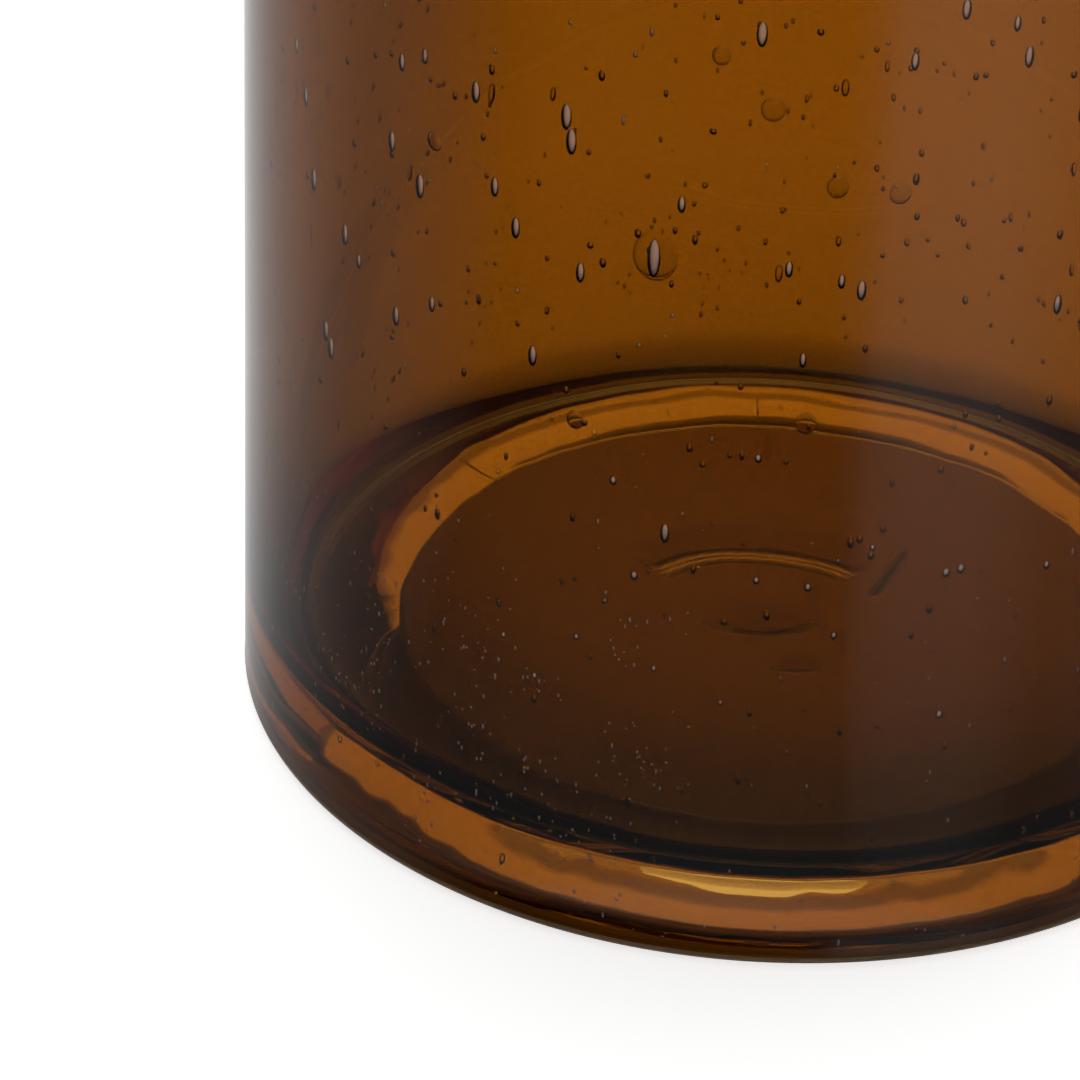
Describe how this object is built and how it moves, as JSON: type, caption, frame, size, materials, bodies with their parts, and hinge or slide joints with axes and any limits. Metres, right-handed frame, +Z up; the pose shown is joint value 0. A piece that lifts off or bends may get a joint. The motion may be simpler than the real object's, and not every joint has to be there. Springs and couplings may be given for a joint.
{
  "type": "cylinder vase",
  "caption": "Straight-sided round vase in thick seeded amber glass, with a heavy base and an open mouth.",
  "frame": {"origin": "centre of the foot, on the table", "axes": "+Z up along the vase's axis, out of its mouth; the picture is taken from -Y"},
  "size_m": [0.16, 0.16, 0.24],
  "materials": {
    "base_glass": "clear amber glass, fire polished, with small bubbles",
    "wall_glass": "clear amber glass, fire polished, with small bubbles",
    "lip_glass": "clear amber glass, fire polished",
    "scar_glass": "broken amber glass, softened by the flame"
  },
  "bodies": {
    "root": {"base": "base_glass", "wall": "wall_glass", "lip": "lip_glass", "punty_scar": "scar_glass"}
  },
  "joints": []
}
